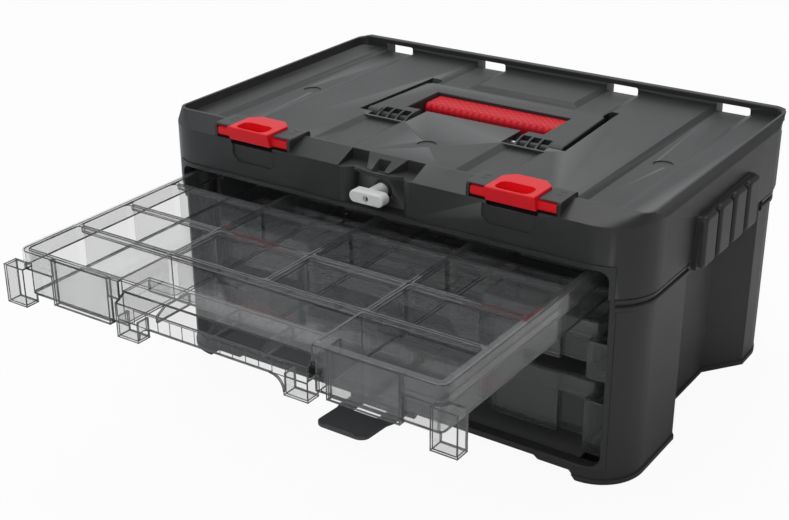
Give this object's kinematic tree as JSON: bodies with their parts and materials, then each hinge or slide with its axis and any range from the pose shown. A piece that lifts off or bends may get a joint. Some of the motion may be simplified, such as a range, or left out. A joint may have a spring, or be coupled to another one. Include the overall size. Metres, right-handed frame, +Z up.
{
  "type": "portable tool box with drawers",
  "caption": "Portable stackable tool box: dark shell with carry handle, latches and clear compartment drawers that slide out at the front.",
  "frame": {"origin": "centre of the footprint at floor level", "axes": "+Z up, +X to the right seen from the front, the drawers open towards -Y"},
  "size_m": [0.499, 0.547, 0.244],
  "materials": {
    "dark_shell": "fine grained polypropylene, dark grey",
    "dark_inner": "satin moulded plastic, near black",
    "red_trim": "satin red moulded plastic",
    "clear_drawer": "clear polycarbonate",
    "white_knob": "smooth white plastic",
    "screw_steel": "zinc plated steel"
  },
  "bodies": {
    "root": {"case_body": "dark_shell", "case_cover": "dark_shell", "front_frame": "dark_inner", "runner_left": "dark_inner", "runner_right": "dark_inner", "runner_screws": "screw_steel", "cover_screws": "screw_steel", "frame_screws": "screw_steel", "handle_pin_left": "screw_steel", "handle_pin_right": "screw_steel", "tab_pin": "screw_steel"},
    "top_drawer": {"top_drawer": "clear_drawer"},
    "middle_drawer": {"middle_drawer": "clear_drawer"},
    "bottom_drawer": {"bottom_drawer": "clear_drawer"},
    "handle": {"handle_frame": "dark_shell", "handle_grip": "red_trim"},
    "latch_left": {"latch_left": "red_trim"},
    "latch_right": {"latch_right": "red_trim"},
    "lock": {"lock_knob": "white_knob", "lock_cam": "screw_steel", "lock_screw": "screw_steel"},
    "release_tab": {"release_tab": "dark_inner"}
  },
  "joints": [
    {"name": "top_drawer_slide", "type": "slide", "parent": "root", "child": "top_drawer", "axis": [0, 1, 0], "range_m": [0, 0.234]},
    {"name": "middle_drawer_slide", "type": "slide", "parent": "root", "child": "middle_drawer", "axis": [0, -1, 0], "range_m": [0, 0.234]},
    {"name": "bottom_drawer_slide", "type": "slide", "parent": "root", "child": "bottom_drawer", "axis": [0, -1, 0], "range_m": [0, 0.234]},
    {"name": "handle_fold", "type": "hinge", "parent": "root", "child": "handle", "pos_m": [0, -0.025, 0.2245], "axis": [1, 0, 0], "range_deg": [0, 95]},
    {"name": "latch_left_flip", "type": "hinge", "parent": "root", "child": "latch_left", "pos_m": [-0.1305, -0.161, 0.2355], "axis": [1, 0, 0], "range_deg": [0, 70]},
    {"name": "latch_right_flip", "type": "hinge", "parent": "root", "child": "latch_right", "pos_m": [0.1305, -0.161, 0.2355], "axis": [1, 0, 0], "range_deg": [0, 70]},
    {"name": "lock_turn", "type": "hinge", "parent": "root", "child": "lock", "pos_m": [0, -0.169, 0.2115], "axis": [0, 1, 0], "range_deg": [0, 90]},
    {"name": "tab_press", "type": "hinge", "parent": "root", "child": "release_tab", "pos_m": [0, -0.155, 0.0055], "axis": [1, 0, 0], "range_deg": [-6, 8], "stiffness_Nm_per_rad": 0.5}
  ]
}
